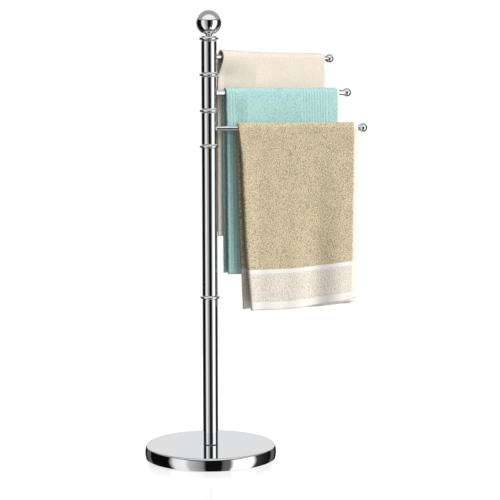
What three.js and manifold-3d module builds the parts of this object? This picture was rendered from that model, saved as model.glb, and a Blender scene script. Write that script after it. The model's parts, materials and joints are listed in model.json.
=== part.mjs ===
// Free-standing towel stand: a weighted disc base, one round column, and three arms that swivel round
// the column's upper end, each with a towel folded over it. Millimetres, +Z up, origin on the floor
// under the column.

import * as THREE from 'three';
import { mergeVertices } from 'three/addons/utils/BufferGeometryUtils.js';
import Module from 'manifold-3d';

const wasm = await Module();
wasm.setup();

// ---- driving dimensions ----

const GAP = 0.3; // clearance between neighbouring pieces
const SEAT = 0.2; // clearance between stacked pieces

// Screws, by radius
const M10 = 5;
const M8 = 4;
const M6 = 3;
const FREE_FIT = 0.8; // the clearance of a hole that a screw only passes through

// Base disc
const BASE_R = 140;
const BASE_TOP = 27;
const BASE_RIM_R = 3.5;
const SHELL_WALL = 1.2;
const SKIRT_FOOT = 1;
const PAD_R = 134;
const PAD_THICK = 2;
const WEIGHT_R = 136;
const WEIGHT_PLATE = 8;
const WEIGHT_BOSS_R = 45;
const RECESS_R = 13;
const RECESS_TOP = 12;
const GASKET_THICK = 0.8;
const BOLT_END = 50;

// Column
const TUBE_R = 16;
const TUBE_WALL = 1.4;
const PLUG_LENGTH = 30;
const COUPLER_LENGTH = 80;
const COUPLER_WALL = 2;

// Bead rings, by the height of each one's middle
const BEAD_R = 20.25;
const BEAD_HALF = 3.35;
const JOINT_BEAD_Z = 343.2;
const SUPPORT_BEAD_Z = 661.3;
const SLEEVE_PITCH = 74.6;

// Spindle that the sleeves turn on
const SPINDLE_R = 10;
const SPINDLE_WALL = 1.5;
const SPINDLE_FOOT_Z = SUPPORT_BEAD_Z - 64;
const SPINDLE_PLUG_LENGTH = 22;
const SOCKET_LENGTH = 16;
const BUSH_LENGTH = 12;
const BUSH_FLANGE = 1;
const BUSH_FLANGE_R = 15.4;
const WAVE_WASHER = 0.8;

// Finial
const BALL_R = 26.2;
const BALL_WALL = 1.6;
const BALL_Z = 918.3;
const NECK_R = 7.2;
const CAP_LIP = 1.2;
const NUT_HIGH = 6.5;

// Arms
const ROD_R = 6;
const ROD_WALL = 1;
const ARM_REACH = 331; // column axis to the middle of the tip ball
const TIP_R = 9.5;
const SPIGOT_LENGTH = 14;
const INSERT_LENGTH = 20;

// Folded towels
const CLOTH_THICK = 5; // one hanging side, two layers of terry
const TOWEL_HALF = ROD_R + GAP + CLOTH_THICK;
const SADDLE_DEPTH = 14; // how far below the rod's middle the cloth still follows the rod's whole width

// Arms from the highest down, each with its towel: where it starts and ends along the rod, how far it
// hangs, where its two sides begin to hang apart, and its plan towards the column as [distance along
// the arm, distance behind it]. Near the column the next arm down stands close in front, so there the
// cloth is pressed back.
const ARMS = [
  {
    name: 'upper',
    yaw: 36.5,
    towel: {
      start: 31,
      end: 315,
      drop: 378,
      parting: 112,
      front: [[24, 4.2], [42, 4.2], [61, -0.3], [98, -7.8], [116, -TOWEL_HALF]],
      back: [[60, TOWEL_HALF], [24, 12]],
      colour: 0xe9dfcc,
    },
  },
  {
    name: 'middle',
    yaw: 25,
    towel: {
      start: 38,
      end: 309,
      drop: 382,
      parting: 80,
      front: [[38, -3.9], [61, -5.4], [84, -TOWEL_HALF]],
      back: [[38, TOWEL_HALF]],
      colour: 0x9fd3cd,
    },
  },
  {
    name: 'lower',
    yaw: 9,
    towel: {
      start: 61,
      end: 311,
      drop: 394,
      parting: 40,
      front: [[61, -TOWEL_HALF]],
      back: [[61, TOWEL_HALF]],
      colour: 0xbcab86,
    },
  },
];

const degrees = Math.PI / 180;

// Facets round a turned piece
const SHOWN = 32;
const HIDDEN = 20;

// ---- materials ----

function finish(color, roughness, metalness) {
  return () => new THREE.MeshStandardMaterial({ color, roughness, metalness });
}

const chrome = finish(0xd8dbe0, 0.05, 1);
const zincSteel = finish(0x9a9c9e, 0.35, 1);
const castIron = finish(0x3a3b3d, 0.7, 0.6);
const rubber = finish(0x1c1c1d, 0.9, 0);
const nylon = finish(0xeeece6, 0.5, 0);

// ---- shapes ----

// Turns a closed outline of [radius, height] points round the Z axis. The outline runs up its outer side.
function turned(outline, segments) {
  const points = outline.map(([r, z]) => new THREE.Vector2(r, z));
  points.push(points[0].clone());
  return new THREE.LatheGeometry(points, segments).rotateX(90 * degrees);
}

// A plain ring or tube between two radii and two heights.
function tube(inner, outer, low, high, segments = HIDDEN) {
  return turned([[inner, low], [outer, low], [outer, high], [inner, high]], segments);
}

// Points on an arc about [r, z], from one angle to another in degrees from the radial direction.
function arc(r, z, radius, from, to, steps) {
  const points = [];
  for (let i = 0; i <= steps; i += 1) {
    const a = (from + ((to - from) * i) / steps) * degrees;
    points.push([r + radius * Math.cos(a), z + radius * Math.sin(a)]);
  }
  return points;
}

// A straight round bar between two heights.
function bar(radius, low, high, segments = HIDDEN) {
  const shape = new THREE.CylinderGeometry(radius, radius, high - low, segments);
  return shape.rotateX(90 * degrees).translate(0, 0, (low + high) / 2);
}

// A shape that stands along Z is laid along +X at a height.
function alongX(geometry, height) {
  return geometry.rotateY(90 * degrees).translate(0, 0, height);
}

function toSolid(geometry) {
  const bare = geometry.clone();
  bare.deleteAttribute('normal');
  bare.deleteAttribute('uv');
  const merged = mergeVertices(bare, 1e-4);
  return new wasm.Manifold(new wasm.Mesh({
    numProp: 3,
    vertProperties: merged.attributes.position.array,
    triVerts: new Uint32Array(merged.index.array),
  }));
}

function toGeometry(solid) {
  const mesh = solid.getMesh();
  const geometry = new THREE.BufferGeometry();
  geometry.setAttribute('position', new THREE.BufferAttribute(mesh.vertProperties, 3));
  geometry.setIndex(new THREE.BufferAttribute(mesh.triVerts, 1));
  geometry.computeVertexNormals();
  return geometry;
}

function cut(geometry, ...tools) {
  return toGeometry(tools.reduce((solid, tool) => solid.subtract(toSolid(tool)), toSolid(geometry)));
}

function join(...geometries) {
  const [first, ...rest] = geometries.map(toSolid);
  return toGeometry(rest.reduce((solid, piece) => solid.add(piece), first));
}

const stand = new THREE.Group();

function add(name, geometry, material, parent = stand) {
  const mesh = new THREE.Mesh(geometry, material());
  mesh.name = name;
  parent.add(mesh);
}

// A ring with a half-round edge, its middle at a height.
function bead(inner, middle) {
  const shoulder = BEAD_R - BEAD_HALF;
  const edge = arc(shoulder, middle, BEAD_HALF, -90, 90, 6);
  return turned([[inner, middle - BEAD_HALF], ...edge, [inner, middle + BEAD_HALF]], SHOWN);
}

// ---- base ----

function addBase() {
  const ceiling = BASE_TOP - SHELL_WALL;
  const skirt = BASE_R - SHELL_WALL;
  const cove = 2;
  const bore = M10 + FREE_FIT;
  const rim = arc(BASE_R - BASE_RIM_R, BASE_TOP - BASE_RIM_R, BASE_RIM_R, 0, 90, 4);
  const inside = [[bore, ceiling], [skirt - cove, ceiling], [skirt, ceiling - cove], [skirt, SKIRT_FOOT]];
  const shell = [[BASE_R, SKIRT_FOOT], ...rim, [bore, BASE_TOP], ...inside];
  add('base_shell', turned(shell, 2 * SHOWN), chrome);

  add('base_pad', bar(PAD_R, 0, PAD_THICK, 2 * SHOWN), rubber);

  const weightFoot = PAD_THICK + GAP;
  const plateTop = weightFoot + WEIGHT_PLATE;
  const bossTop = ceiling - GAP;
  const chamfer = 2;
  const draft = 4;
  add('base_weight', turned([
    [RECESS_R, weightFoot],
    [WEIGHT_R, weightFoot],
    [WEIGHT_R, plateTop - chamfer],
    [WEIGHT_R - chamfer, plateTop],
    [WEIGHT_BOSS_R + draft, plateTop],
    [WEIGHT_BOSS_R, bossTop],
    [bore, bossTop],
    [bore, RECESS_TOP],
    [RECESS_R, RECESS_TOP],
  ], 2 * SHOWN), castIron);

  const headR = 9.2;
  const headLow = PAD_THICK + 1;
  const headHigh = headLow + 6.4;
  const washerR = 11.5;
  add('base_bolt', join(bar(headR, headLow, headHigh, 6), bar(M10, headHigh - 1, BOLT_END)), zincSteel);
  add('base_washer', tube(M10 + GAP, washerR, headHigh + GAP, RECESS_TOP - GAP), zincSteel);
}

// ---- column ----

const gasketLow = BASE_TOP + SEAT;
const lowerTubeFoot = gasketLow + GASKET_THICK + SEAT;
const boreR = TUBE_R - TUBE_WALL;
const innerR = boreR - GAP;

function addColumn() {
  add('column_gasket', tube(M10 + FREE_FIT, TUBE_R - 2 * SEAT, gasketLow, gasketLow + GASKET_THICK), rubber);
  add('column_foot_plug', tube(M10 + GAP, innerR, lowerTubeFoot, lowerTubeFoot + PLUG_LENGTH), zincSteel);
  const lowerTubeTop = JOINT_BEAD_Z - BEAD_HALF - SEAT;
  add('lower_tube', tube(boreR, TUBE_R, lowerTubeFoot, lowerTubeTop, SHOWN), chrome);
  const couplerLow = JOINT_BEAD_Z - COUPLER_LENGTH / 2;
  const couplerTop = JOINT_BEAD_Z + COUPLER_LENGTH / 2;
  add('tube_coupler', tube(innerR - COUPLER_WALL, innerR, couplerLow, couplerTop), zincSteel);
  add('joint_ring', bead(boreR, JOINT_BEAD_Z), chrome);
  const upperTubeTop = SUPPORT_BEAD_Z - BEAD_HALF - SEAT;
  add('upper_tube', tube(boreR, TUBE_R, JOINT_BEAD_Z + BEAD_HALF + SEAT, upperTubeTop, SHOWN), chrome);

  const socketBore = SPINDLE_R + GAP;
  const socketLow = SPINDLE_FOOT_Z + 2;
  add('spindle_socket_lower', tube(socketBore, innerR, socketLow, socketLow + SOCKET_LENGTH), zincSteel);
  const upperSocket = tube(socketBore, innerR, upperTubeTop - SOCKET_LENGTH, upperTubeTop);
  add('spindle_socket_upper', upperSocket, zincSteel);
}

// ---- swivel head: spindle, rings and finial ----

const collarBeadZ = SUPPORT_BEAD_Z + 3 * SLEEVE_PITCH;
const collarLow = collarBeadZ - BEAD_HALF;
const washerTop = collarLow - SEAT;
const washerLow = washerTop - WAVE_WASHER;
const spindleTop = collarLow - 2.5;

function addHead() {
  const spindleBore = SPINDLE_R - SPINDLE_WALL;
  add('spindle', tube(spindleBore, SPINDLE_R, SPINDLE_FOOT_Z, spindleTop), zincSteel);
  add('support_ring', bead(SPINDLE_R + GAP, SUPPORT_BEAD_Z), chrome);
  add('spacer_ring_lower', bead(SPINDLE_R + GAP, SUPPORT_BEAD_Z + SLEEVE_PITCH), chrome);
  add('spacer_ring_upper', bead(SPINDLE_R + GAP, SUPPORT_BEAD_Z + 2 * SLEEVE_PITCH), chrome);

  const studHole = M8 + FREE_FIT;
  add('top_collar', bead(studHole, collarBeadZ), chrome);
  add('wave_washer', tube(SPINDLE_R + 1, BUSH_FLANGE_R, washerLow, washerTop), zincSteel);
  const plugLow = spindleTop - SPINDLE_PLUG_LENGTH;
  add('spindle_plug', tube(M8 + GAP, spindleBore - GAP, plugLow, spindleTop), zincSteel);

  // A lip, then a low dome that rises to a short neck under the ball.
  const capFoot = collarBeadZ + BEAD_HALF + SEAT;
  const neckHeight = Math.sqrt(BALL_R ** 2 - NECK_R ** 2);
  const neckZ = BALL_Z - neckHeight;
  const capTop = neckZ - SEAT;
  add('finial_cap', turned([
    [studHole, capFoot],
    [TUBE_R, capFoot],
    [TUBE_R, capFoot + CAP_LIP],
    [TUBE_R - 1.6, capFoot + CAP_LIP + 1.1],
    [TUBE_R - 5.4, capFoot + CAP_LIP + 2.2],
    [NECK_R, capTop - 0.6],
    [NECK_R, capTop],
    [studHole, capTop],
  ], SHOWN), chrome);

  const cavityR = BALL_R - BALL_WALL;
  const neckAngle = Math.asin(neckHeight / BALL_R) / degrees;
  const openingAngle = Math.acos(studHole / cavityR) / degrees;
  const outside = arc(0, BALL_Z, BALL_R, -neckAngle, 90, 14);
  const inside = arc(0, BALL_Z, cavityR, 90, -openingAngle, 8);
  outside[outside.length - 1][0] = 0;
  inside[0][0] = 0;
  add('finial_ball', turned([[studHole, neckZ], ...outside, ...inside], SHOWN), chrome);

  const nutR = 7.5;
  const nutLow = BALL_Z - cavityR + 2.4;
  const nutTop = nutLow + NUT_HIGH;
  add('finial_nut', cut(bar(nutR, nutLow, nutTop, 6), bar(M8 + GAP, nutLow - 1, nutTop + 1)), zincSteel);
  add('finial_stud', bar(M8, plugLow + 4, nutTop + 2.5), zincSteel);
}

// ---- arms ----

// An upright prism over a plan outline, between two heights.
function prism(plan, low, high) {
  const outline = new THREE.Shape(plan.map(([x, y]) => new THREE.Vector2(x, y)));
  const geometry = new THREE.ExtrudeGeometry(outline, { depth: high - low, bevelEnabled: false });
  return geometry.translate(0, 0, low);
}

// A towel folded lengthwise and hung over the rod, with its folded edge towards the column.
function towel(shape, height) {
  const { start, end, drop, parting } = shape;
  const foot = height - drop;
  const hang = height - SADDLE_DEPTH;
  const skirt = prism([...shape.front, [end, -TOWEL_HALF], [end, TOWEL_HALF], ...shape.back], foot, hang);

  const fold = new THREE.Shape();
  fold.moveTo(-TOWEL_HALF, hang - CLOTH_THICK);
  fold.lineTo(TOWEL_HALF, hang - CLOTH_THICK);
  fold.lineTo(TOWEL_HALF, height);
  fold.absarc(0, height, TOWEL_HALF, 0, Math.PI, false);
  fold.closePath();
  const along = { depth: end - start, bevelEnabled: false, curveSegments: 8 };
  const saddle = new THREE.ExtrudeGeometry(fold, along);
  saddle.rotateX(90 * degrees).rotateZ(90 * degrees).translate(start, 0, 0);

  const rodHole = ROD_R + GAP;
  const rod = alongX(bar(rodHole, start - 5, end + 5), height);
  const between = prism([
    [parting, 0],
    [parting + 2 * rodHole, -rodHole],
    [end + 1, -rodHole],
    [end + 1, rodHole],
    [parting + 2 * rodHole, rodHole],
  ], foot - 1, height);
  return cut(join(skirt, saddle), rod, between);
}

function addArm(arm, index) {
  const swivel = new THREE.Group();
  swivel.rotation.z = arm.yaw * degrees;
  stand.add(swivel);

  const beadBelow = SUPPORT_BEAD_Z + (2 - index) * SLEEVE_PITCH;
  const height = beadBelow + SLEEVE_PITCH / 2;
  const low = beadBelow + BEAD_HALF + SEAT;
  const high = (index === 0 ? washerLow : beadBelow + SLEEVE_PITCH - BEAD_HALF) - SEAT;
  const sleeveLow = low + BUSH_FLANGE + SEAT;
  const sleeveHigh = high - BUSH_FLANGE - SEAT;

  const screwHole = alongX(bar(M6 + GAP, boreR - 3, TUBE_R + 3), height);
  const sleeve = cut(tube(boreR, TUBE_R, sleeveLow, sleeveHigh, SHOWN), screwHole);
  add(arm.name + '_sleeve', sleeve, chrome, swivel);

  const bushBore = SPINDLE_R + GAP;
  add(arm.name + '_bush_bottom', turned([
    [bushBore, low],
    [BUSH_FLANGE_R, low],
    [BUSH_FLANGE_R, low + BUSH_FLANGE],
    [innerR, low + BUSH_FLANGE],
    [innerR, low + BUSH_LENGTH],
    [bushBore, low + BUSH_LENGTH],
  ], HIDDEN), nylon, swivel);
  add(arm.name + '_bush_top', turned([
    [bushBore, high - BUSH_LENGTH],
    [innerR, high - BUSH_LENGTH],
    [innerR, high - BUSH_FLANGE],
    [BUSH_FLANGE_R, high - BUSH_FLANGE],
    [BUSH_FLANGE_R, high],
    [bushBore, high],
  ], HIDDEN), nylon, swivel);

  const headInner = SPINDLE_R + GAP + 1;
  const headOuter = headInner + 2.2;
  const insertStart = TUBE_R + 2.5;
  const insertEnd = insertStart + INSERT_LENGTH;
  const screw = join(bar(M6 + 1.5, headInner, headOuter), bar(M6, headOuter - 1, insertEnd - 2));
  add(arm.name + '_screw', alongX(screw, height), zincSteel, swivel);
  const rodBore = ROD_R - ROD_WALL;
  const insert = tube(M6 + GAP, rodBore - GAP, insertStart, insertEnd);
  add(arm.name + '_insert', alongX(insert, height), zincSteel, swivel);

  const rodEnd = ARM_REACH - Math.sqrt(TIP_R ** 2 - ROD_R ** 2);
  const column = bar(TUBE_R + GAP, height - 2 * ROD_R, height + 2 * ROD_R, SHOWN);
  const rod = alongX(tube(rodBore, ROD_R, boreR, rodEnd - SEAT), height);
  add(arm.name + '_rod', cut(rod, column), chrome, swivel);

  const flatAngle = -Math.acos(ROD_R / TIP_R) / degrees;
  const spigotR = rodBore - GAP;
  const spigotEnd = rodEnd - SPIGOT_LENGTH;
  const tipOutline = arc(0, ARM_REACH, TIP_R, flatAngle, 90, 10);
  tipOutline[tipOutline.length - 1][0] = 0;
  const spigot = [[0, spigotEnd], [spigotR, spigotEnd], [spigotR, rodEnd]];
  add(arm.name + '_tip', alongX(turned([...spigot, ...tipOutline], HIDDEN), height), chrome, swivel);

  const cloth = finish(arm.towel.colour, 0.95, 0);
  add(arm.name + '_towel', towel(arm.towel, height), cloth, swivel);
}

addBase();
addColumn();
addHead();
ARMS.forEach(addArm);

export default stand;
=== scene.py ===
"""Free-standing chrome towel stand: round base, ringed column and three swivel arms with folded towels."""

import json
import math

import bpy
import numpy as np
from bpy.props import FloatProperty, FloatVectorProperty, PointerProperty
from mathutils import Matrix, Vector

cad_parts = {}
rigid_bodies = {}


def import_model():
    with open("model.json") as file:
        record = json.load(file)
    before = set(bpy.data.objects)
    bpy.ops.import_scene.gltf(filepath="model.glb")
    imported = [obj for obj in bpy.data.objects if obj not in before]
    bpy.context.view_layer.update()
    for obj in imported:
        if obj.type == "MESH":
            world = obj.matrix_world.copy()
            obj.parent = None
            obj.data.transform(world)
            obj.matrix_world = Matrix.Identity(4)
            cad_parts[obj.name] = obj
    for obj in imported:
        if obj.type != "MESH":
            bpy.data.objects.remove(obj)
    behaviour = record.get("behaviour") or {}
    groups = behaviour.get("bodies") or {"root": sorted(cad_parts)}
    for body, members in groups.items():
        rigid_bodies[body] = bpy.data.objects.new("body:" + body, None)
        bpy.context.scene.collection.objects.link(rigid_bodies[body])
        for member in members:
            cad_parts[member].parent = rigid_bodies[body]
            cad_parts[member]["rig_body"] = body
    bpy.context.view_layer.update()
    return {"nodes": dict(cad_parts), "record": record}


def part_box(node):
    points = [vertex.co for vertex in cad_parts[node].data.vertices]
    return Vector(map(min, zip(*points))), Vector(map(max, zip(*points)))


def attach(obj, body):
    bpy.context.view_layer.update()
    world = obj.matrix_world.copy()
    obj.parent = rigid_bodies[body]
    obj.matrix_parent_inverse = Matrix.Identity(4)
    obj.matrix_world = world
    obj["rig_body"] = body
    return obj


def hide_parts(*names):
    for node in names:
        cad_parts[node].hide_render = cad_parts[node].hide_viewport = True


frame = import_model()

bl_info = {
    "name": "Towel Stand",
    "version": (1, 0, 0),
    "blender": (4, 5, 0),
    "location": "View3D > Sidebar > Towel Stand",
    "description": "Builds a chrome towel stand with swivel arms and folded terry towels",
    "category": "Object",
}

MM = 0.001
ARMS = ("upper", "middle", "lower")


def linear(hex_colour):
    """An sRGB hex value as the three linear numbers that shaders work in."""
    values = [int(hex_colour[i : i + 2], 16) / 255 for i in (0, 2, 4)]
    return tuple(v / 12.92 if v <= 0.04045 else ((v + 0.055) / 1.055) ** 2.4 for v in values)


def ease(t):
    """0 to 1 with a soft start and end."""
    t = np.clip(t, 0, 1)
    return t * t * (3 - 2 * t)


# ---------------------------------------------------------------- settings


def length(name, description, default):
    """A setting in metres."""
    return FloatProperty(name=name, description=description, default=default, unit="LENGTH", precision=4)


def colour(name, description, hex_colour):
    """A colour setting, from an sRGB hex value."""
    default = linear(hex_colour)
    return FloatVectorProperty(
        name=name, description=description, default=default, subtype="COLOR", size=3, min=0, max=1
    )


class ChromeSettings(bpy.types.PropertyGroup):
    """The turned and plated pieces."""

    plate: colour("Plate", "Colour of the chrome plate", "EDEEF0")
    polish: FloatProperty(
        name="Polish", description="Roughness of the plate", default=0.012, min=0, max=1, subtype="FACTOR"
    )
    edge: length("Edge", "Radius that the tubes' ends are eased to", 0.4 * MM)
    wall: length("Wall", "Wall of the column's tubes", 1.4 * MM)
    rod_wall: length("Rod wall", "Wall of the arms' tubes", 1 * MM)


class CreamTowelSettings(bpy.types.PropertyGroup):
    """The towel on the upper arm."""

    body: colour("Body", "Colour of the terry", "D1C7B9")
    selvage: colour("Selvage", "Colour of the woven edge", "D9CDBD")
    layer: length("Layer", "Thickness of one layer of the cloth", 1.7 * MM)
    overhang: length("Overhang", "How far the under layer shows past the upper one", 0.5 * MM)
    wave: length("Wave", "Height of the folds at the foot", 2.5 * MM)


class AquaTowelSettings(bpy.types.PropertyGroup):
    """The towel on the middle arm."""

    body: colour("Body", "Colour of the terry", "A5CAC6")
    selvage: colour("Selvage", "Colour of the woven edge", "D5DEDB")
    layer: length("Layer", "Thickness of one layer of the cloth", 1.9 * MM)
    overhang: length("Overhang", "How far the under layer shows past the upper one", 4.5 * MM)
    wave: length("Wave", "Height of the folds at the foot", 2.5 * MM)


class KhakiTowelSettings(bpy.types.PropertyGroup):
    """The towel on the lower arm."""

    body: colour("Body", "Colour of the terry", "DCCCAA")
    selvage: colour("Selvage", "Colour of the woven edge", "D6D1CA")
    band: colour("Band", "Colour of the woven band", "F1EFEE")
    panel: colour("Panel", "Colour of the terry below the band", "EFE5D9")
    hem: colour("Hem", "Colour of the hem", "F1EBE3")
    layer: length("Layer", "Thickness of one layer of the cloth", 2.2 * MM)
    overhang: length("Overhang", "How far the under layer shows past the upper one", 8.5 * MM)
    wave: length("Wave", "Height of the folds at the foot", 4.6 * MM)


class TowelStandSettings(bpy.types.PropertyGroup):
    """Everything that a user would change."""

    chrome: PointerProperty(type=ChromeSettings, name="Chrome", description="Plated pieces")
    cream: PointerProperty(type=CreamTowelSettings, name="Cream towel", description="Upper arm's towel")
    aqua: PointerProperty(type=AquaTowelSettings, name="Aqua towel", description="Middle arm's towel")
    khaki: PointerProperty(type=KhakiTowelSettings, name="Khaki towel", description="Lower arm's towel")


# ---------------------------------------------------------------- materials


def connect(tree, node, inputs):
    """Gives each named input a value, or links it to the node or the output socket that feeds it."""
    for socket, value in dict(inputs).items():
        if isinstance(value, bpy.types.Node):
            value = value.outputs[0]
        if isinstance(value, bpy.types.NodeSocket):
            tree.links.new(value, node.inputs[socket])
        else:
            node.inputs[socket].default_value = value


def add_node(tree, kind, inputs=(), stops=(), **settings):
    """Adds a node with its settings and links; `stops` are a ramp's positions and colours, in order."""
    node = tree.nodes.new(kind)
    for name, value in settings.items():
        setattr(node, name, value)
    for number, (position, tone) in enumerate(stops):
        elements = node.color_ramp.elements
        if number == len(elements):
            elements.new(position)
        elements[number].position = position
        elements[number].color = (*tone, 1)
    connect(tree, node, inputs)
    return node


def new_material(name):
    """A material, its node tree and the Principled shader in it."""
    material = bpy.data.materials.new(name)
    material.use_nodes = True
    tree = material.node_tree
    return material, tree, tree.nodes["Principled BSDF"]


def chrome_plate():
    """Polished chrome plate on steel tube: a near-white metal with a mirror polish. Handling leaves a very
    faint haze on it in soft patches, and the buffing a slight unevenness, so its reflections aren't drawn
    with a ruler."""
    settings = bpy.context.scene.towel_stand.chrome
    haze_size = 45 * MM
    buff_size = 30 * MM
    material, tree, shader = new_material("polished chrome plate")
    place = add_node(tree, "ShaderNodeTexCoord").outputs["Object"]
    haze = add_node(tree, "ShaderNodeTexNoise", {"Vector": place, "Scale": 1 / haze_size, "Detail": 4})
    polish = add_node(
        tree,
        "ShaderNodeMapRange",
        {
            "Value": haze.outputs["Fac"],
            "From Min": 0.35,
            "From Max": 0.75,
            "To Min": settings.polish,
            "To Max": 1.8 * settings.polish,
        },
    )
    buffing = add_node(tree, "ShaderNodeTexNoise", {"Vector": place, "Scale": 1 / buff_size, "Detail": 1})
    bump = add_node(
        tree, "ShaderNodeBump", {"Height": buffing.outputs["Fac"], "Strength": 0.02, "Distance": 0.4 * MM}
    )
    connect(
        tree,
        shader,
        {
            "Base Color": (*settings.plate, 1),
            "Metallic": 1,
            "Roughness": polish.outputs["Result"],
            "Normal": bump,
        },
    )
    return material


def grained(name, low, high, grain, roughness, metallic, depth):
    """A plain part with a fine grain: zinc plate, iron casting, foam or moulded nylon."""
    material, tree, shader = new_material(name)
    place = add_node(tree, "ShaderNodeTexCoord").outputs["Object"]
    noise = add_node(tree, "ShaderNodeTexNoise", {"Vector": place, "Scale": 1 / grain, "Detail": 5})
    bump = add_node(tree, "ShaderNodeBump", {"Height": noise, "Strength": 0.5, "Distance": depth})
    stops = [(0.3, linear(low)), (0.7, linear(high))]
    tones = add_node(tree, "ShaderNodeValToRGB", {"Fac": noise}, stops)
    connect(
        tree,
        shader,
        {
            "Base Color": tones,
            "Metallic": metallic,
            "Roughness": roughness,
            "Normal": bump,
        },
    )
    return material


def terry(name, tone, loop, relief, contrast, ridged=False):
    """Cotton terry: a soft pile of loops that scatters light, with uneven tufts. Its colour has painted
    highlight on the loop tops and painted shade in the gaps between them. The loops lean one way, so they
    read as short slanted strokes. `loop` is a loop's width, and `relief` how far the loops stand out. A
    ridged terry also has painted highlight on its ribs and painted shade between them."""
    tone = Vector(tone)
    material, tree, shader = new_material(name)
    flat = add_node(tree, "ShaderNodeUVMap", uv_map="cloth").outputs["UV"]
    slant = (0, 0, math.radians(-38))
    lean = add_node(tree, "ShaderNodeMapping", {"Vector": flat, "Rotation": slant, "Scale": (1, 0.55, 1)})
    drift = add_node(tree, "ShaderNodeTexNoise", {"Vector": flat, "Scale": 0.05 / loop, "Detail": 2})
    loops = add_node(tree, "ShaderNodeTexVoronoi", {"Vector": lean, "Scale": 1 / loop}, feature="F1")
    tufts = add_node(
        tree, "ShaderNodeTexNoise", {"Vector": lean, "Scale": 1.4 / loop, "Detail": 2, "Roughness": 0.7}
    )
    height = add_node(
        tree,
        "ShaderNodeMath",
        {0: loops.outputs["Distance"], 1: -0.45, 2: tufts.outputs["Fac"]},
        operation="MULTIPLY_ADD",
    ).outputs["Value"]
    # Painted highlight and shade: the colour is paler where the loops stand high and darker in the gaps
    # between them, plus a random drift in tone.
    shade = add_node(
        tree,
        "ShaderNodeMath",
        {0: drift, 1: 0.12, 2: height},
        operation="MULTIPLY_ADD",
    ).outputs["Value"]
    if ridged:
        # Painted highlight on the ribs' crests and painted shade in the hollows between them, from the same
        # rib profile that shapes the cloth.
        ridges = add_node(tree, "ShaderNodeAttribute", attribute_name="ridges")
        shade = add_node(
            tree, "ShaderNodeMath", {0: ridges.outputs["Fac"], 1: 0.25, 2: shade}, operation="MULTIPLY_ADD"
        ).outputs["Value"]
    bump = add_node(tree, "ShaderNodeBump", {"Height": height, "Strength": 1, "Distance": relief})
    # The ramp's dark and pale ends are the painted shade and painted highlight of the loops; `contrast`
    # sets how far apart they are.
    stops = [(0.12, tone * (1 - contrast)), (0.5, tone * (1 + 0.4 * contrast))]
    tones = add_node(tree, "ShaderNodeValToRGB", {"Fac": shade}, stops)
    connect(
        tree,
        shader,
        {
            "Base Color": tones,
            "Roughness": 0.95,
            "Specular IOR Level": 0.15,
            "Sheen Weight": 0.15,
            "Sheen Roughness": 0.5,
            "Normal": bump,
        },
    )
    return material


THREAD = 1.2 * MM  # a woven thread as drawn


def flat_weave(name, tone, thread):
    """A woven band, hem or selvage without pile: flat threads crossing over and under, with a slight
    gloss. Real threads are about 0.5 mm; they are drawn coarser so that they show."""
    tone = Vector(tone)
    material, tree, shader = new_material(name)
    cloth = add_node(tree, "ShaderNodeUVMap", uv_map="cloth").outputs["UV"]
    weave = add_node(
        tree, "ShaderNodeTexChecker", {"Vector": cloth, "Scale": 1 / thread, "Color1": (1, 1, 1, 1)}
    )
    soft = add_node(tree, "ShaderNodeTexNoise", {"Vector": cloth, "Scale": 0.5 / thread, "Detail": 4})
    height = add_node(
        tree,
        "ShaderNodeMath",
        {0: weave.outputs["Fac"], 1: 0.3, 2: soft.outputs["Fac"]},
        operation="MULTIPLY_ADD",
    ).outputs["Value"]
    bump = add_node(tree, "ShaderNodeBump", {"Height": height, "Strength": 0.5, "Distance": 0.25 * MM})
    tones = add_node(tree, "ShaderNodeValToRGB", {"Fac": height}, [(0.3, tone * 0.93), (0.7, tone * 1.03)])
    connect(
        tree,
        shader,
        {
            "Base Color": tones,
            "Roughness": 0.8,
            "Specular IOR Level": 0.3,
            "Sheen Weight": 0.1,
            "Normal": bump,
        },
    )
    return material


# ---------------------------------------------------------------- turned pieces


def arc(r, z, radius, start, end, steps):
    """Points on an arc about (r, z), from one angle to another in degrees from the radial direction."""
    angles = np.radians(np.linspace(start, end, steps + 1))
    return [(r + radius * math.cos(a), z + radius * math.sin(a)) for a in angles]


def rounded_corner(r, z, radius, start):
    """A quarter-round corner whose sharp point would be at (r, z), turning left from the start angle."""
    inward = {-90: (-1, 1), 0: (-1, -1)}[start]
    return arc(r + inward[0] * radius, z + inward[1] * radius, radius, start, start + 90, 5)


def tube_outline(inner, outer, low, high, edge):
    """A tube's section. The extra points by each eased end keep the long wall's shading straight."""
    foot = [*rounded_corner(outer, low, edge, -90), (outer, low + 2 * edge)]
    head = [(outer, high - 2 * edge), *rounded_corner(outer, high, edge, 0)]
    return [(inner, low), *foot, *head, (inner, high)]


def mesh_object(name, points, faces, node, materials):
    """A smooth-shaded object in place of a CAD node, on the node's body."""
    mesh = bpy.data.meshes.new(name)
    mesh.from_pydata(points, [], faces)
    mesh.polygons.foreach_set("use_smooth", [True] * len(mesh.polygons))
    piece = bpy.data.objects.new(name, mesh)
    bpy.context.scene.collection.objects.link(piece)
    for material in materials:
        mesh.materials.append(material)
    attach(piece, frame["nodes"][node]["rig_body"])
    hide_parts(node)
    return piece


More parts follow.
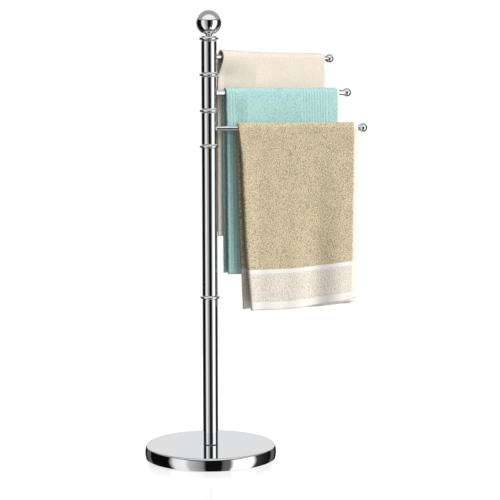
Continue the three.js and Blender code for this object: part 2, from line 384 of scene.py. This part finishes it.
def turned(name, node, outline, material, place=None, segments=144):
    """Turns a closed outline of (radius, height) round the Z axis. Points on the axis become poles."""
    place = place or Matrix.Identity(4)
    points = []
    rings = []
    for r, z in outline:
        first = len(points)
        if r < 1e-7:
            points.append(place @ Vector((0, 0, z)))
            rings.append([first] * segments)
        else:
            for k in range(segments):
                a = 2 * math.pi * k / segments
                points.append(place @ Vector((r * math.cos(a), r * math.sin(a), z)))
            rings.append(list(range(first, first + segments)))
    faces = []
    for lower, upper in zip(rings, rings[1:] + rings[:1]):
        for k in range(segments):
            n = (k + 1) % segments
            corners = [lower[k], lower[n], upper[n], upper[k]]
            face = list(dict.fromkeys(corners))
            if len(face) > 2:
                faces.append(face)
    piece = mesh_object(name, points, faces, node, [material])
    piece.data.set_sharp_from_angle(angle=math.radians(32))
    return piece


def chrome_tube(node, wall, material, radius=None):
    """A tube of the column, as long as its CAD node."""
    low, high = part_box(node)
    radius = radius or high.x
    edge = bpy.context.scene.towel_stand.chrome.edge
    turned(node + "_turned", node, tube_outline(radius - wall, radius, low.z, high.z, edge), material)


def bead_ring(node, bore, material):
    """A ring with a half-round edge between two short flats."""
    low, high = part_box(node)
    half = (high.z - low.z) / 2
    middle = (high.z + low.z) / 2
    shoulder = high.x - half
    edge = arc(shoulder, middle, half, -90, 90, 16)
    turned(node + "_turned", node, [(bore, low.z), *edge, (bore, high.z)], material)


def arm_place(arm):
    """The arm's direction, as the turn that takes the Z axis onto the rod's middle line."""
    points = [v.co for v in frame["nodes"][arm + "_rod"].data.vertices]
    middle = sum(points, Vector()) / len(points)
    yaw = math.atan2(middle.y, middle.x)
    along = Matrix.Rotation(math.radians(90), 4, "Y")
    return yaw, Matrix.Translation((0, 0, middle.z)) @ Matrix.Rotation(yaw, 4, "Z") @ along


# ---------------------------------------------------------------- towels

TERRY, EDGE, HEM, PANEL, BAND = range(5)  # the finishes of a towel, in the order of its materials

# How each towel hangs, in mm.
# left, right: the edges' places along the arm and how they drift with depth, as (depth, place), for the
#     front side and for the back side.
# drop: how far the front hangs at its left and right edges, and the same for the back.
# face: where each side's outer face lies in front of (-) or behind (+) the rod, as (distance along the arm,
#     offset). Near the column it is pressed by its neighbours.
# puff: how far the folded edge swells at the front and at the back.
# loft: the air between the cloth and the rod; crest: how much more the folded edge rises over it.
# free: where along the arm the foot's waves start, and over what length they grow to their full height.
# across, along: the grid's steps.
# pile: the unevenness of the terry; ribs: the pitch of its ribs.
# zones: the tops of the finishes at each end, from the foot up.
HANG = {
    "upper": {
        "left": ([(0, 31), (60, 27), (378, 27)], [(0, 31), (40, 23), (378, 21)]),
        "right": ([(0, 309), (378, 308)], [(0, 309), (378, 309)]),
        "drop": ((378, 376), (369, 372)),
        "face": ([(24, 4.4), (42, 4.4), (61, 0), (98, -7.6), (116, -11)], [(24, 11.9), (60, 11.2)]),
        "puff": (0.2, 0.2),
        "loft": 1.4,
        "crest": 4,
        "free": (95, 90),
        "across": 3,
        "along": 3.4,
        "pile": 0.14,
        "ribs": None,
        "zones": [(12, HEM)],
    },
    "middle": {
        "left": ([(0, 36), (60, 40), (382, 42)], [(0, 37), (60, 36), (382, 37)]),
        "right": ([(0, 303), (382, 302)], [(0, 303), (382, 301)]),
        "drop": ((383, 380), (381, 380)),
        "face": ([(38, -4.1), (61, -5.7), (84, -11)], [(38, 11)]),
        "puff": (0.8, 0.4),
        "loft": 0.3,
        "crest": 0.5,
        "free": (95, 90),
        "across": 6.8 / 4,
        "along": 5,
        "pile": 0.18,
        "ribs": 6.8,
        "zones": [(12, HEM)],
    },
    "lower": {
        "left": ([(0, 61), (60, 67), (235, 75), (386, 87)], [(0, 61), (120, 63), (385, 73)]),
        "right": ([(0, 310), (386, 306)], [(0, 310), (385, 308)]),
        "drop": ((386, 367), (385, 379)),
        "face": ([(61, -11.3)], [(61, 11.3)]),
        "puff": (2.4, 2),
        "loft": 1.2,
        "crest": 0,
        "free": (60, 60),
        "across": 2.5,
        "along": 2.7,
        "pile": 0.28,
        "ribs": None,
        "zones": [(17, HEM), (78, PANEL), (86.5, BAND)],
    },
}
RIBBED = ((0, 24), (177, 248))  # the ribbed towel's stretches with ribs, in mm from its fold
RIB_HEIGHT = 0.8
WAVES = ((118, 0.6), (71, 0.3), (205, 0.5))  # length in mm, and share of the wave's height
FULL_DROP = 380  # depth at which the waves have their full height
SETTLE = 45  # depth by which the cloth has left the rod's curve
PUFF_DEPTH = 50  # depth by which the folded edge has its full swell
PUFF_FADE = 20  # distance from the fold over which the swell fades
CREST_FADE = 75  # distance from the fold over which the crest fades
SLACK = 0.1  # half the gap between the two layers, and as much again under them
RIPPLE = 1.2  # height of the foot's small ripple
RIPPLE_SPAN = 31  # its length over two pi
TUCK = 3  # how much shorter the under layer hangs
FAR = 1000  # on the rod, out of reach of the foot's finishes

# The cloth's thickness, as a share of its full one: a woven band, a hem or edge, and the line between two
# finishes.
BAND_BODY = 0.7
HEM_BODY = 0.95
SEAM_BODY = 0.6


def depth_rows(drop, zones, step):
    """Depths of the grid's rows from a side's foot up to the rod, with a row on each zone's border."""
    ends = [0, *(top for top, _ in zones), drop]
    rows = []
    for low, high in zip(ends, ends[1:]):
        count = max(2, round((high - low) / step))
        rows.extend(np.linspace(low, high, count, endpoint=False))
    return drop - np.array(rows)


def along_table(table, at):
    """The value at a place, between the (place, value) pairs of a table."""
    return np.interp(at, *zip(*table))


def smooth_noise(random, shape, passes):
    """Seeded noise of about unit size, softened over neighbouring points."""
    noise = random.standard_normal(shape)
    for _ in range(passes):
        for axis in (0, 1):
            noise = (np.roll(noise, 1, axis) + 2 * noise + np.roll(noise, -1, axis)) / 4
    return noise / noise.std()


def drape(arm, cloth, seed):
    """The towel's middle surface as a grid of points in the arm's own frame, and what each point is.

    The towel is folded once along its length, so each hanging side is a hairpin of two layers, with the
    fold towards the column. A row of the grid is a place along the cloth, from its front hem over the rod
    to its back hem, and a column is a place across it, from one woven edge round the fold to the other.
    """
    hang = HANG[arm]
    low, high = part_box(arm + "_rod")
    rod = (high.z - low.z) / 2 / MM
    layer = cloth.layer / MM
    half_gap = layer / 2 + SLACK
    bend = rod + hang["loft"] + layer + SLACK
    random = np.random.default_rng(seed)

    # Rows: depth below the rod's middle on each side, and the angle over the rod between them.
    fronts = depth_rows(hang["drop"][0][0], hang["zones"], hang["along"])
    backs = depth_rows(hang["drop"][1][0], hang["zones"], hang["along"])[::-1]
    over = np.radians(np.linspace(0, 180, 13))
    depth = np.concatenate([fronts, 0 * over, backs])[:, None]
    side = np.concatenate([0 * fronts - 1, -np.cos(over), 0 * backs + 1])[:, None]
    lift = np.concatenate([0 * fronts, np.sin(over), 0 * backs])[:, None]
    is_front = side < 0
    from_foot = np.concatenate([fronts[0] - fronts, 0 * over + FAR, backs[-1] - backs])[:, None]
    length_along = np.concatenate(
        [fronts[0] - fronts, fronts[0] + bend * over, fronts[0] + bend * math.pi + backs]
    )[:, None]

    # Columns: share of the width from the fold, and the height over the hairpin's middle.
    left = np.where(is_front, along_table(hang["left"][0], depth), along_table(hang["left"][1], depth))
    right = np.where(is_front, along_table(hang["right"][0], depth), along_table(hang["right"][1], depth))
    width = hang["right"][0][0][1] - hang["left"][0][0][1]
    outer_share = np.linspace(1, 0, round(width / hang["across"]) + 1)
    turn = np.radians(np.linspace(90, -90, 9))[1:-1]
    inner_share = np.linspace(0, 1, 32) ** 1.3
    share = np.concatenate([outer_share, 0 * turn, inner_share])[None, :]
    bulge = np.concatenate([0 * outer_share, np.cos(turn), 0 * inner_share])[None, :]
    layer_side = np.concatenate([0 * outer_share + 1, np.sin(turn), 0 * inner_share - 1])[None, :]
    under = np.concatenate([0 * outer_share, 0 * turn, inner_share])[None, :]

    puff = np.where(is_front, *hang["puff"]) * ease(depth / PUFF_DEPTH)
    swell = half_gap + puff
    reach = right + under**8 * cloth.overhang / MM - left - swell
    along = left + swell + share * reach - bulge * swell
    offset = layer_side * (half_gap + puff * np.exp(-((share * reach / PUFF_FADE) ** 2)))

    # Where the hairpin's middle lies in front of or behind the rod.
    face = np.where(is_front, along_table(hang["face"][0], along), along_table(hang["face"][1], along))
    middle = face - side * (layer + SLACK)
    settle = ease(depth / SETTLE)
    across = side * bend * (1 - settle) + middle * settle
    free = ease((along - hang["free"][0]) / hang["free"][1])
    hung = (depth / FULL_DROP) ** 1.2
    for number, (span, share_of_height) in enumerate(WAVES):
        phase = random.uniform(0, 2 * math.pi) + np.where(is_front, 0, 1.9)
        drift = 0.5 * math.sin(3 * number) * depth / FULL_DROP
        swing = np.sin(2 * math.pi * along / span + phase + drift)
        across = across + cloth.wave / MM * share_of_height * free * hung * swing

    # The foot slants a little, and isn't quite straight.
    slant = np.where(is_front, *(right_drop / left_drop for left_drop, right_drop in hang["drop"]))
    fall = depth * (1 + (slant - 1) * share**1.7)
    fall = fall + RIPPLE * hung * np.sin(along / RIPPLE_SPAN + seed)
    fall = fall - under**0.5 * TUCK * hung

    crest = hang["crest"] * np.exp(-(((along - left) / CREST_FADE) ** 2))
    up = lift * (bend + offset + crest) - fall
    whole = 0 * along
    across_cloth = np.concatenate([outer_share, 0 * turn, -inner_share])[None, :] * width
    across_cloth = across_cloth + whole + layer_side * 0.5 * math.pi * half_gap
    return {
        "points": np.stack([along, across + side * offset, up], axis=-1),
        "cloth": np.stack([across_cloth, length_along + whole], axis=-1) * MM,
        "from_foot": from_foot + whole,
        "under": under + whole,
        "random": random,
    }


def skins(arm, cloth, sheet):
    """Both faces of the cloth: the middle surface set out by half its thickness, with pile on it."""
    hang = HANG[arm]
    points = sheet["points"]
    normal = np.cross(np.gradient(points, axis=1), np.gradient(points, axis=0))
    normal /= np.linalg.norm(normal, axis=-1, keepdims=True)
    shape = points.shape[:2]
    pile = hang["pile"] * smooth_noise(sheet["random"], shape, 1)
    lumps = 0.25 * hang["pile"] * smooth_noise(sheet["random"], shape, 6)
    body = np.ones(shape)
    foot = sheet["from_foot"]
    low = 0
    for top, finish in hang["zones"]:
        inside_zone = (foot > low + 0.5) & (foot < top - 0.5)
        if finish != PANEL:
            pile = np.where(inside_zone, 0.1 * pile, pile)
            body = np.where(inside_zone, BAND_BODY if finish == BAND else HEM_BODY, body)
        body = np.where(abs(foot - top) < 0.5, SEAM_BODY, body)
        low = top
    half = cloth.layer / MM / 2 * body + lumps
    if hang["ribs"]:
        place = sheet["cloth"][..., 0] / MM
        ribbed = sum(ease((place - start) / 6) * ease((end - place) / 6) for start, end in RIBBED)
        sheet["ridges"] = -ribbed * np.cos(2 * math.pi * place / hang["ribs"])
        half = half + RIB_HEIGHT * sheet["ridges"]
        pile = pile * (1 + 1.2 * (1 - ribbed))
    outside = points + normal * (half + pile)[..., None]
    inside = points - normal * (cloth.layer / MM / 2 * body)[..., None]
    return outside, inside


def grid_faces(rows, columns):
    """Quads of two skins and the rim between them, all facing out."""
    index = np.arange(rows * columns).reshape(rows, columns)
    outer = np.stack([index[:-1, :-1], index[1:, :-1], index[1:, 1:], index[:-1, 1:]], axis=-1)
    under = outer[..., ::-1] + rows * columns
    loop = np.concatenate([index[0, :-1], index[:-1, -1], index[-1, :0:-1], index[:0:-1, 0]])
    following = np.roll(loop, -1)
    rim = np.stack([loop, following, following + rows * columns, loop + rows * columns], axis=-1)
    return np.concatenate([outer.reshape(-1, 4), under.reshape(-1, 4), rim])


def zone_of(sheet, zones, faces):
    """Which finish each face has."""
    foot = np.tile(sheet["from_foot"].ravel(), 2)[faces].mean(axis=1)
    under = np.tile(sheet["under"].ravel(), 2)[faces].mean(axis=1)
    zone = np.full(len(faces), TERRY)
    for top, finish in reversed(zones):
        zone = np.where(foot < top, finish, zone)
    return np.where(under > 0.93, EDGE, zone)


def make_towel(name, arm, cloth, materials, seed):
    """A towel of two skins and a rim, on its arm."""
    sheet = drape(arm, cloth, seed)
    outside, inside = skins(arm, cloth, sheet)
    rows, columns = sheet["points"].shape[:2]
    faces = grid_faces(rows, columns)
    yaw, _ = arm_place(arm)
    low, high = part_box(arm + "_rod")
    place = Matrix.Translation((0, 0, (low.z + high.z) / 2)) @ Matrix.Rotation(yaw, 4, "Z")
    turn = np.array(place.to_3x3())
    shift = np.array(place.translation)
    points = np.concatenate([outside.reshape(-1, 3), inside.reshape(-1, 3)]) * MM @ turn.T + shift
    towel = mesh_object(name, points.tolist(), faces.tolist(), arm + "_towel", materials)
    mesh = towel.data
    layout = mesh.uv_layers.new(name="cloth")
    loops = np.zeros(len(mesh.loops), int)
    mesh.loops.foreach_get("vertex_index", loops)
    both = np.tile(sheet["cloth"].reshape(-1, 2), (2, 1))
    layout.data.foreach_set("uv", both[loops].ravel())
    if "ridges" in sheet:
        ridges = mesh.attributes.new("ridges", "FLOAT", "POINT")
        ridges.data.foreach_set("value", np.tile(sheet["ridges"].ravel(), 2))
    zone = zone_of(sheet, HANG[arm]["zones"], faces)
    mesh.polygons.foreach_set("material_index", zone)


# ---------------------------------------------------------------- operators


class TOWELSTAND_OT_stage(bpy.types.Operator):
    """Camera, floor, lamps and surroundings"""

    bl_idname = "towelstand.stage"
    bl_label = "Stage"

    def execute(self, context):
        set_camera(context)
        set_surroundings(context)
        set_floor(context)
        set_lamps(context)
        context.scene.view_settings.view_transform = "Standard"
        return {"FINISHED"}


CAMERA_PLACE = (0, -3.2511, 0.7783)
CAMERA_TILT = 84.111  # degrees up from straight down
CAMERA_PAN = -1.492
CAMERA_ROLL = -0.115


def set_camera(context):
    """A long lens, level with the middle arm and tipped down to the base."""
    camera = bpy.data.objects.new("camera", bpy.data.cameras.new("camera"))
    camera.data.lens = 111.56
    camera.data.sensor_width = 36
    pan = Matrix.Rotation(math.radians(CAMERA_PAN), 4, "Z")
    turn = pan @ Matrix.Rotation(math.radians(CAMERA_TILT), 4, "X")
    roll = Matrix.Rotation(math.radians(CAMERA_ROLL), 4, "Z")
    camera.matrix_world = Matrix.Translation(CAMERA_PLACE) @ turn @ roll
    context.scene.collection.objects.link(camera)
    context.scene.camera = camera


# What the chrome sees round it at its own height: dark and bright studio panels by compass angle, 0 in
# front of the stand and positive to its right, with the brightness of each.
PANELS = [
    (-180, 0.8),
    (-167, 0.8),
    (-162, 0.004),
    (-150, 0.004),
    (-144, 0.12),
    (-132, 0.12),
    (-126, 0.004),
    (-78, 0.004),
    (-67, 0.9),
    (-46, 1.0),
    (-38, 0.55),
    (-22, 0.36),
    (-14, 0.26),
    (-9, 0.006),
    (18, 0.006),
    (22, 0.12),
    (34, 0.14),
    (41, 1.25),
    (78, 1.25),
    (87, 0.05),
    (104, 0.02),
    (126, 0.004),
    (132, 0.12),
    (144, 0.12),
    (150, 0.004),
    (162, 0.004),
    (167, 0.8),
    (180, 0.8),
]
WIDE_PANEL = [(-180, 0), (11, 0), (15, 1), (50, 1), (78, 0)]
# Over the panels, in front, to the sides and behind: the brightness by height, from -1 to 1.
OVERHEAD = (
    [(0.35, 0.01), (0.41, 1)],
    [(0.3, 0.35), (0.4, 0.38)],
    [(0.6, 0.82), (0.68, 0.38)],
)
FLOOR_GREY = 0.12  # what the chrome sees straight below


def compass_stops(panels):
    """Ramp stops over a full turn, from the angles and brightnesses of panels."""
    return [((angle + 180) / 360, (light, light, light)) for angle, light in panels]


def set_surroundings(context):
    """White behind the stand; for reflections, a ring of dark and bright panels with soft zones above."""
    world = bpy.data.worlds.new("studio")
    context.scene.world = world
    world.use_nodes = True
    tree = world.node_tree
    tree.nodes.clear()

    direction = add_node(tree, "ShaderNodeTexCoord").outputs["Generated"]
    axes = add_node(tree, "ShaderNodeSeparateXYZ", {"Vector": direction}).outputs
    ahead = add_node(tree, "ShaderNodeMath", {0: axes["Y"], 1: -1}, operation="MULTIPLY")
    compass = add_node(tree, "ShaderNodeMath", {0: axes["X"], 1: ahead}, operation="ARCTAN2")
    inputs = {"Value": compass, "From Min": -math.pi, "From Max": math.pi}
    turn = add_node(tree, "ShaderNodeMapRange", inputs)
    height = add_node(tree, "ShaderNodeMapRange", {"Value": axes["Z"], "From Min": -1, "From Max": 1})
    ring = add_node(tree, "ShaderNodeValToRGB", {"Fac": turn}, compass_stops(PANELS))

    # Over the panels: in front, a dark bar and then a white dome; to the sides and behind, a pale sky and
    # a grey ceiling.
    above = []
    for bands in OVERHEAD:
        stops = [((z + 1) / 2, (light, light, light)) for z, light in bands]
        above.append(add_node(tree, "ShaderNodeValToRGB", {"Fac": height}, stops))
    inputs = {"Value": axes["Y"], "From Min": -0.35, "From Max": -0.15}
    beside = add_node(tree, "ShaderNodeMapRange", inputs)
    behind = add_node(tree, "ShaderNodeMapRange", {"Value": axes["Y"], "From Min": 0.6, "From Max": 0.85})
    over = add_node(tree, "ShaderNodeMix", {0: beside, 2: above[0], 3: above[1]})
    over = add_node(tree, "ShaderNodeMix", {0: behind, 2: over, 3: above[2]})
    raised = add_node(tree, "ShaderNodeMapRange", {"Value": axes["Z"], "From Min": 0.26, "From Max": 0.3})
    low_sky = add_node(tree, "ShaderNodeMapRange", {"Value": axes["Z"], "From Min": 0.08, "From Max": 0.14})
    low_sky = add_node(tree, "ShaderNodeMath", {0: low_sky, 1: behind}, operation="MULTIPLY")
    share = add_node(tree, "ShaderNodeMath", {0: raised, 1: low_sky}, operation="MAXIMUM")
    seen = add_node(tree, "ShaderNodeMix", {0: share, 2: ring, 3: over})

    # The right-hand panel is wider for reflections that point steeply down.
    wide = add_node(tree, "ShaderNodeValToRGB", {"Fac": turn}, compass_stops(WIDE_PANEL))
    steep = add_node(tree, "ShaderNodeMapRange", {"Value": axes["Z"], "From Min": -0.66, "From Max": -0.76})
    flare = add_node(tree, "ShaderNodeMath", {0: wide, 1: steep}, operation="MULTIPLY")
    seen = add_node(tree, "ShaderNodeMath", {0: seen, 1: flare}, operation="MAXIMUM")
    below = add_node(tree, "ShaderNodeMapRange", {"Value": axes["Z"], "From Min": -0.8, "From Max": -0.93})
    seen = add_node(tree, "ShaderNodeMix", {0: below, 2: seen, 3: FLOOR_GREY})

    rays = add_node(tree, "ShaderNodeLightPath").outputs
    mirrored = add_node(tree, "ShaderNodeBackground", {"Color": seen})
    fill_range = {"Value": axes["X"], "From Min": -0.3, "From Max": 0.8, "To Min": 0.14, "To Max": 1.1}
    fill = add_node(tree, "ShaderNodeMapRange", fill_range)
    back_range = {"Value": axes["Y"], "From Min": 0.2, "From Max": 0.8, "To Min": 0, "To Max": 1.1}
    back_fill = add_node(tree, "ShaderNodeMapRange", back_range)
    fill = add_node(tree, "ShaderNodeMath", {0: fill, 1: back_fill}, operation="MAXIMUM")
    soft = add_node(tree, "ShaderNodeBackground", {"Color": fill})
    white = add_node(tree, "ShaderNodeBackground", {"Color": (1, 1, 1, 1)})
    lit = add_node(tree, "ShaderNodeMixShader", {0: rays["Is Glossy Ray"], 1: soft, 2: mirrored})
    shown = add_node(tree, "ShaderNodeMixShader", {0: rays["Is Camera Ray"], 1: lit, 2: white})
    add_node(tree, "ShaderNodeOutputWorld", {"Surface": shown})


def set_floor(context):
    """A round sheet of white background paper."""
    material, tree, shader = new_material("white background paper")
    place = add_node(tree, "ShaderNodeTexCoord").outputs["Object"]
    fibre = add_node(tree, "ShaderNodeTexNoise", {"Vector": place, "Scale": 1 / (3 * MM), "Detail": 3})
    bump = add_node(tree, "ShaderNodeBump", {"Height": fibre, "Strength": 0.05, "Distance": 0.1 * MM})
    # Lit from below as well as from above, so that shadows on it stay faint, and slightly glossy.
    connect(
        tree,
        shader,
        {
            "Base Color": (0.2, 0.2, 0.2, 1),
            "Roughness": 0.16,
            "Emission Color": (1, 1, 1, 1),
            "Emission Strength": 0.74,
            "Normal": bump,
        },
    )
    radius = 1.25
    mesh = bpy.data.meshes.new("floor")
    turns = [math.radians(a) for a in range(0, 360, 5)]
    rim = [(radius * math.cos(a), radius * math.sin(a), 0) for a in turns]
    mesh.from_pydata(rim, [], [tuple(range(len(rim)))])
    floor = bpy.data.objects.new("floor", mesh)
    floor.location.z = -0.2 * MM
    mesh.materials.append(material)
    context.scene.collection.objects.link(floor)
    floor.visible_glossy = False
    floor.visible_diffuse = False


def set_lamps(context):
    """An even, very soft key from the front right and above."""
    lamp = bpy.data.lights.new("key", "SUN")
    lamp.angle = math.radians(28)
    lamp.energy = 3.1
    rig = bpy.data.objects.new("key", lamp)
    travel = Vector((-1, 0.5, -0.65))
    rig.rotation_euler = travel.to_track_quat("-Z", "Y").to_euler()
    rig.visible_glossy = False
    context.scene.collection.objects.link(rig)


class TOWELSTAND_OT_base(bpy.types.Operator):
    """Base disc cover: one sheet with a rolled rim and a side that swells slightly"""

    bl_idname = "towelstand.base"
    bl_label = "Base"

    def execute(self, context):
        chrome = chrome_material()
        low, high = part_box("base_shell")
        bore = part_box("base_bolt")[1].x + 1 * MM
        wall = 1.2 * MM
        rim = 3.5 * MM
        swell = 44 * MM  # radius of the side's bulge
        lean = 18  # how far the side leans in under the rim, in degrees
        rise = math.sin(math.radians(lean))
        middle = high.z - rim * (1 - rise) - swell * rise
        foot = -math.degrees(math.asin((middle - low.z) / swell))
        centre = high.x - swell
        shoulder = centre + (swell - rim) * math.cos(math.radians(lean))
        outer = arc(centre, middle, swell, foot, lean, 16)
        outer += arc(shoulder, high.z - rim, rim, lean, 90, 14)[1:]
        outer += [(shoulder - 0.5 * MM, high.z)]
        inner = [(bore, high.z), (bore, high.z - wall)]
        inner += arc(shoulder, high.z - rim, rim - wall, 90, lean, 8)
        inner += arc(centre, middle, swell - wall, lean, foot, 8)[1:]
        turned("base_cover", "base_shell", outer + inner, chrome, segments=256)
        return {"FINISHED"}


class TOWELSTAND_OT_column(bpy.types.Operator):
    """The column's two tubes and the bead ring that joins them"""

    bl_idname = "towelstand.column"
    bl_label = "Column"

    def execute(self, context):
        chrome = chrome_material()
        wall = context.scene.towel_stand.chrome.wall
        for node in ("lower_tube", "upper_tube"):
            chrome_tube(node, wall, chrome)
        bead_ring("joint_ring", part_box("lower_tube")[1].x - wall, chrome)
        return {"FINISHED"}


class TOWELSTAND_OT_head(bpy.types.Operator):
    """Bead rings, finial cap and ball at the head of the column"""

    bl_idname = "towelstand.head"
    bl_label = "Head"

    def execute(self, context):
        chrome = chrome_material()
        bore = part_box("spindle")[1].x + 0.3 * MM
        for node in ("support_ring", "spacer_ring_lower", "spacer_ring_upper", "top_collar"):
            bead_ring(node, bore, chrome)
        low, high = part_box("finial_ball")
        radius = high.x
        centre = high.z - radius
        cap_low, cap_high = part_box("finial_cap")
        neck = math.sqrt(radius**2 - (centre - low.z) ** 2)
        bore = 4.8 * MM
        bottom = -math.degrees(math.acos(neck / radius))
        ball = arc(0, centre, radius, bottom, 90, 48)
        ball[-1] = (0, high.z)
        shell = 1.6 * MM
        hollow = arc(0, centre, radius - shell, 90, bottom - 4, 24)
        hollow[0] = (0, high.z - shell)
        turned("finial_ball_turned", "finial_ball", [(bore, low.z), *ball, *hollow], chrome, segments=192)
        lip = 1.2 * MM
        edge = 0.5 * MM
        dome = rounded_corner(cap_high.x, cap_low.z, edge, -90)
        dome += rounded_corner(cap_high.x, cap_low.z + lip, edge, 0)
        dome += sweep((cap_high.x - 0.9 * MM, cap_low.z + lip), (neck, cap_high.z - 0.8 * MM))
        outline = [(bore, cap_low.z), *dome, (neck, cap_high.z), (bore, cap_high.z)]
        turned("finial_cap_turned", "finial_cap", outline, chrome)
        return {"FINISHED"}


def sweep(start, end):
    """An ogee from a lip up to a neck: a rounded shoulder that runs into a hollow."""
    points = []
    for t in np.linspace(0, 1, 17):
        r = start[0] + (end[0] - start[0]) * t
        rise = 0.55 * math.sin(t * math.pi / 2) + 0.45 * t**5
        points.append((r, start[1] + (end[1] - start[1]) * rise))
    return points


class TOWELSTAND_OT_arms(bpy.types.Operator):
    """Each arm's sleeve, rod and ball tip"""

    bl_idname = "towelstand.arms"
    bl_label = "Arms"

    def execute(self, context):
        chrome = chrome_material()
        settings = context.scene.towel_stand.chrome
        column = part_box("upper_tube")[1].x
        for arm in ARMS:
            chrome_tube(arm + "_sleeve", settings.wall, chrome, column)
            _, place = arm_place(arm)
            low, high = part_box(arm + "_rod")
            radius = (high.z - low.z) / 2
            tip_low, tip_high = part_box(arm + "_tip")
            ball = (tip_high.z - tip_low.z) / 2
            centre, rod_end = tip_place(arm, ball, radius)
            rod = tube_outline(radius - settings.rod_wall, radius, column - 0.8 * MM, rod_end, 0.1 * MM)
            turned(arm + "_rod_turned", arm + "_rod", rod, chrome, place, 64)
            spigot = radius - 1.3 * MM
            spigot_foot = rod_end - 14 * MM
            start = -math.degrees(math.acos(radius / ball))
            outline = [(0, spigot_foot), (spigot, spigot_foot), (spigot, rod_end)]
            outline += arc(0, centre, ball, start, 90, 32)
            outline[-1] = (0, centre + ball)
            turned(arm + "_tip_turned", arm + "_tip", outline, chrome, place, 96)
        return {"FINISHED"}


def tip_place(arm, ball, rod_radius):
    """Where the tip ball's middle and the rod's end are, from the column's axis out."""
    far = max(Vector((v.co.x, v.co.y)).length for v in frame["nodes"][arm + "_tip"].data.vertices)
    centre = far - ball
    return centre, centre - math.sqrt(ball**2 - rod_radius**2)


class TOWELSTAND_OT_hardware(bpy.types.Operator):
    """Finishes of the weight, pad, screws, spindle and bushes inside"""

    bl_idname = "towelstand.hardware"
    bl_label = "Hardware"

    def execute(self, context):
        finishes = {
            # Zinc-plated steel: bluish grey, with the fine frost of the plating.
            "zinc_steel": grained("zinc-plated steel", "8E9296", "B4B8BC", 2 * MM, 0.38, 1, 0.02 * MM),
            # Sand-cast iron: dark and rough, with the sand's grain.
            "cast_iron": grained("sand-cast iron", "2C2C2E", "46464A", 1.5 * MM, 0.75, 0.6, 0.3 * MM),
            # Closed-cell foam: near black, matt and finely pored.
            "pad_foam": grained("black EVA foam", "131314", "232325", 1 * MM, 0.9, 0, 0.15 * MM),
            # Moulded nylon: milky, with the mould's light texture.
            "nylon": grained("natural nylon", "DDD9CE", "ECE9E0", 3 * MM, 0.45, 0, 0.02 * MM),
        }
        for part in frame["record"]["subparts"]:
            if part["material_slot"] in finishes:
                slots = frame["nodes"][part["node"]].data.materials
                slots.clear()
                slots.append(finishes[part["material_slot"]])
        return {"FINISHED"}


class TOWELSTAND_OT_towels(bpy.types.Operator):
    """The three folded terry towels"""

    bl_idname = "towelstand.towels"
    bl_label = "Towels"

    def execute(self, context):
        stand = context.scene.towel_stand
        # Each list is in the order TERRY, EDGE, HEM, PANEL, BAND.
        cream = [
            terry("cream cotton velour", stand.cream.body, 1.6 * MM, 0.35 * MM, 0.14),
            flat_weave("cream woven edge", stand.cream.selvage, THREAD),
            flat_weave("cream hem", stand.cream.body, THREAD),
        ]
        aqua = [
            terry("aqua ribbed terry", stand.aqua.body, 2 * MM, 0.6 * MM, 0.26, ridged=True),
            flat_weave("pale woven edge", stand.aqua.selvage, THREAD),
            flat_weave("aqua hem", stand.aqua.body, THREAD),
        ]
        khaki = [
            terry("khaki looped terry", stand.khaki.body, 1.7 * MM, 1.3 * MM, 0.54),
            flat_weave("undyed woven edge", stand.khaki.selvage, THREAD),
            flat_weave("undyed hem", stand.khaki.hem, THREAD),
            terry("undyed looped terry", stand.khaki.panel, 1.9 * MM, 1.1 * MM, 0.26),
            flat_weave("white woven band", stand.khaki.band, THREAD),
        ]
        make_towel("cream_towel", "upper", stand.cream, cream, 3)
        make_towel("aqua_towel", "middle", stand.aqua, aqua, 5)
        make_towel("khaki_towel", "lower", stand.khaki, khaki, 8)
        return {"FINISHED"}


def chrome_material():
    """One plating for every chromed piece."""
    return bpy.data.materials.get("polished chrome plate") or chrome_plate()


class TOWELSTAND_PT_panel(bpy.types.Panel):
    bl_label = "Towel Stand"
    bl_idname = "TOWELSTAND_PT_panel"
    bl_space_type = "VIEW_3D"
    bl_region_type = "UI"
    bl_category = "Towel Stand"

    def draw(self, context):
        for operator in OPERATORS:
            self.layout.operator(operator.bl_idname)
        stand = context.scene.towel_stand
        for group in (stand.chrome, stand.cream, stand.aqua, stand.khaki):
            box = self.layout.box()
            for name in group.__annotations__:
                box.prop(group, name)


GROUPS = (ChromeSettings, CreamTowelSettings, AquaTowelSettings, KhakiTowelSettings, TowelStandSettings)
OPERATORS = (
    TOWELSTAND_OT_stage,
    TOWELSTAND_OT_base,
    TOWELSTAND_OT_column,
    TOWELSTAND_OT_head,
    TOWELSTAND_OT_arms,
    TOWELSTAND_OT_hardware,
    TOWELSTAND_OT_towels,
)


def register():
    for item in (*GROUPS, *OPERATORS, TOWELSTAND_PT_panel):
        bpy.utils.register_class(item)
    bpy.types.Scene.towel_stand = PointerProperty(type=TowelStandSettings)


def unregister():
    del bpy.types.Scene.towel_stand
    for item in reversed((*GROUPS, *OPERATORS, TOWELSTAND_PT_panel)):
        bpy.utils.unregister_class(item)


def main():
    register()
    for step in ("stage", "base", "column", "head", "arms", "hardware", "towels"):
        getattr(bpy.ops.towelstand, step)()


if __name__ == "__main__":
    main()
